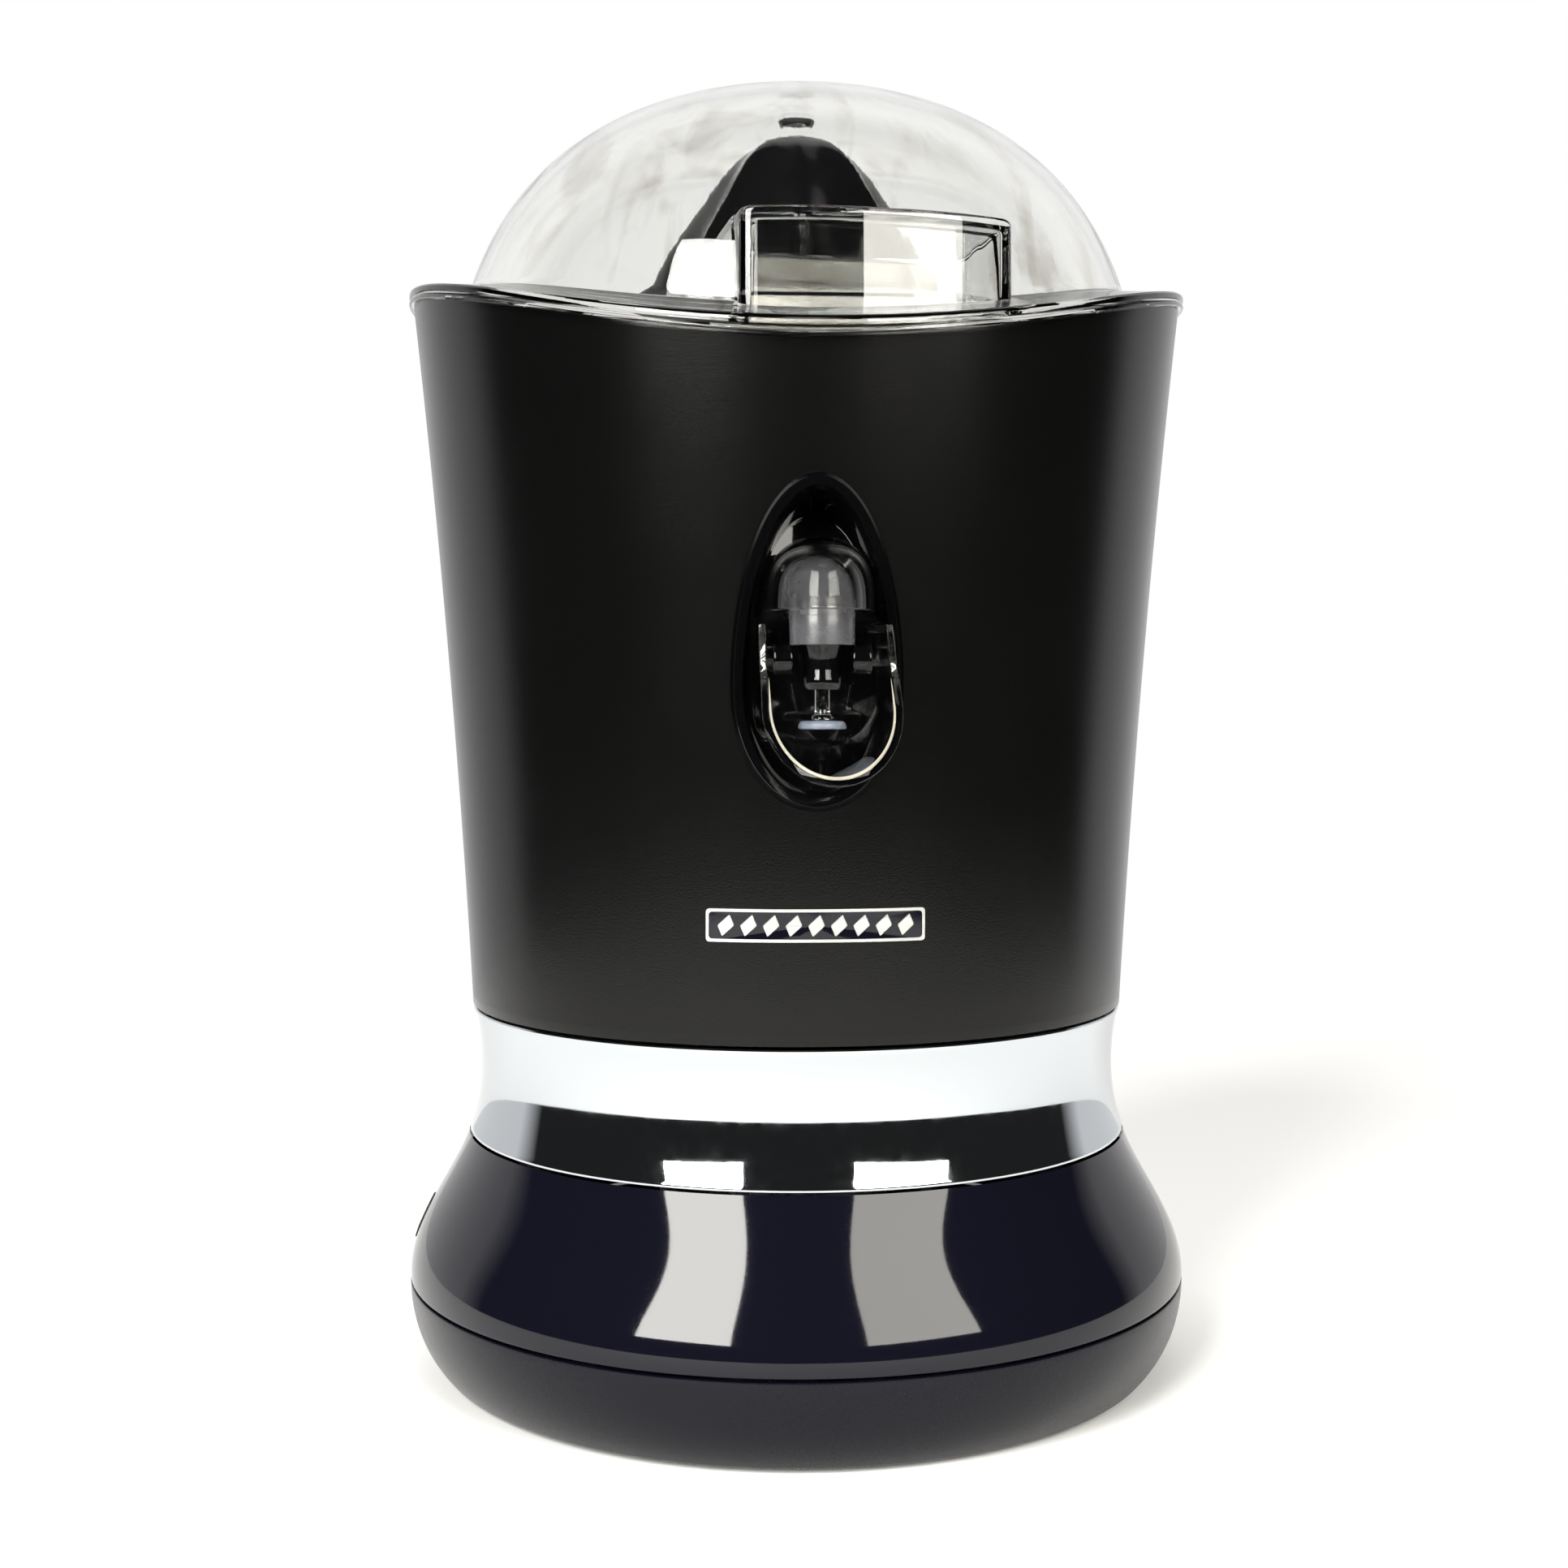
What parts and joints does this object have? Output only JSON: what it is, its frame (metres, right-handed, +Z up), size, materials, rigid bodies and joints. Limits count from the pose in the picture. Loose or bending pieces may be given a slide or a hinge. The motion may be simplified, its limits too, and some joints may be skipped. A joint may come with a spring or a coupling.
{
  "type": "citrus press juicer",
  "caption": "Electric citrus press: flared black body on a bell base with a bright waist ring, clear dome lid over a ribbed reamer cone, and a clear tilting drip-stop spout.",
  "frame": {"origin": "on the turning axis of motor, shaft and cone, at the plane that the feet stand on; the base's flat underside lies 1 mm above it", "axes": "+Z up along the turning axis; the spout points along -Y; +X is to the right of someone facing the spout"},
  "size_m": [0.1678, 0.2086, 0.2728],
  "materials": {
    "satin_black": "satin black moulded ABS",
    "gloss_black": "high-gloss black moulded ABS",
    "chrome": "mirror plating on plastic",
    "clear_plastic": "clear moulded SAN or polycarbonate",
    "white_plastic": "natural acetal or polypropylene",
    "grey_plastic": "moulded grey ABS",
    "rubber": "moulded black rubber",
    "steel": "plain bright steel",
    "copper": "enamelled winding wire, taped",
    "badge_silver": "satin silver"
  },
  "bodies": {
    "housing": {"base_tray": "satin_black", "foot_1": "rubber", "foot_2": "rubber", "foot_3": "rubber", "foot_4": "rubber", "base_screw_1": "steel", "base_screw_2": "steel", "base_screw_3": "steel", "base_screw_4": "steel", "base_cover": "gloss_black", "cord_gland": "rubber", "waist_ring": "chrome", "body_shell": "satin_black", "badge": "badge_silver", "body_deck": "grey_plastic", "shaft_bush": "white_plastic", "spout_pocket": "gloss_black", "juice_duct": "clear_plastic", "spout_pin_left": "steel", "spout_pin_right": "steel", "chassis": "grey_plastic", "motor_stator": "steel", "lower_winding": "copper", "upper_winding": "copper", "motor_lower_bracket": "steel", "motor_upper_bracket": "steel", "motor_bolt_1": "steel", "motor_bolt_2": "steel", "gearbox_case": "grey_plastic", "gearbox_cover": "grey_plastic", "idler_pin": "steel", "start_switch": "grey_plastic", "return_spring": "steel"},
    "bowl": {"juice_bowl": "clear_plastic"},
    "strainer": {"pulp_strainer": "white_plastic"},
    "lid": {"lid": "clear_plastic"},
    "slip_washer": {"cone_washer": "white_plastic"},
    "cone": {"reamer_cone": "gloss_black"},
    "collar": {"press_collar": "white_plastic"},
    "shaft": {"drive_shaft": "steel"},
    "output": {"output_gear": "white_plastic"},
    "idler": {"idler_gear": "white_plastic"},
    "rotor": {"motor_rotor": "steel"},
    "plunger": {"switch_plunger": "white_plastic"},
    "spout": {"spout": "clear_plastic"},
    "valve": {"drip_valve": "white_plastic"}
  },
  "joints": [
    {"name": "bowl_lift", "type": "slide", "parent": "housing", "child": "bowl", "axis": [0, 0, 1], "range_m": [0, 0.1]},
    {"name": "strainer_lift", "type": "slide", "parent": "bowl", "child": "strainer", "axis": [0, 0, 1], "range_m": [0, 0.08]},
    {"name": "lid_lift", "type": "slide", "parent": "strainer", "child": "lid", "axis": [0, 0, 1], "range_m": [0, 0.1]},
    {"name": "cone_press", "type": "slide", "parent": "strainer", "child": "slip_washer", "axis": [0, 0, 1], "range_m": [-0.003, 0], "stiffness_N_per_m": 900, "springref_m": 0.003},
    {"name": "cone_spin", "type": "hinge", "parent": "slip_washer", "child": "cone", "pos_m": [0, 0, 0.2108], "axis": [0, 0, 1], "continuous": true},
    {"name": "shaft_press", "type": "slide", "parent": "housing", "child": "collar", "axis": [0, 0, 1], "range_m": [-0.003, 0], "deforming": ["return_spring"]},
    {"name": "shaft_spin", "type": "hinge", "parent": "collar", "child": "shaft", "pos_m": [0, 0, 0.106], "axis": [0, 0, 1], "continuous": true},
    {"name": "output_spin", "type": "hinge", "parent": "housing", "child": "output", "pos_m": [0, 0, 0.0835], "axis": [0, 0, 1], "continuous": true},
    {"name": "idler_spin", "type": "hinge", "parent": "housing", "child": "idler", "pos_m": [0, 0.025, 0.077], "axis": [0, 0, 1], "continuous": true},
    {"name": "rotor_spin", "type": "hinge", "parent": "housing", "child": "rotor", "pos_m": [0, 0, 0.03], "axis": [0, 0, 1], "continuous": true},
    {"name": "plunger_press", "type": "slide", "parent": "housing", "child": "plunger", "axis": [0, 0, 1], "range_m": [-0.003, 0]},
    {"name": "spout_tilt", "type": "hinge", "parent": "housing", "child": "spout", "pos_m": [0, -0.088, 0.149], "axis": [-1, 0, 0], "range_deg": [0, 25]},
    {"name": "valve_lift", "type": "slide", "parent": "housing", "child": "valve", "axis": [0, 0, 1], "range_m": [0, 0.0044]}
  ],
  "couplings": [
    {"joint": "cone_spin", "follows": "output_spin", "ratio": 1},
    {"joint": "shaft_spin", "follows": "output_spin", "ratio": 1},
    {"joint": "idler_spin", "follows": "output_spin", "ratio": -4},
    {"joint": "rotor_spin", "follows": "output_spin", "ratio": 16},
    {"joint": "shaft_press", "follows": "cone_press", "ratio": 1},
    {"joint": "plunger_press", "follows": "cone_press", "ratio": 1},
    {"joint": "valve_lift", "follows": "spout_tilt", "m_per_rad": 0.01}
  ]
}
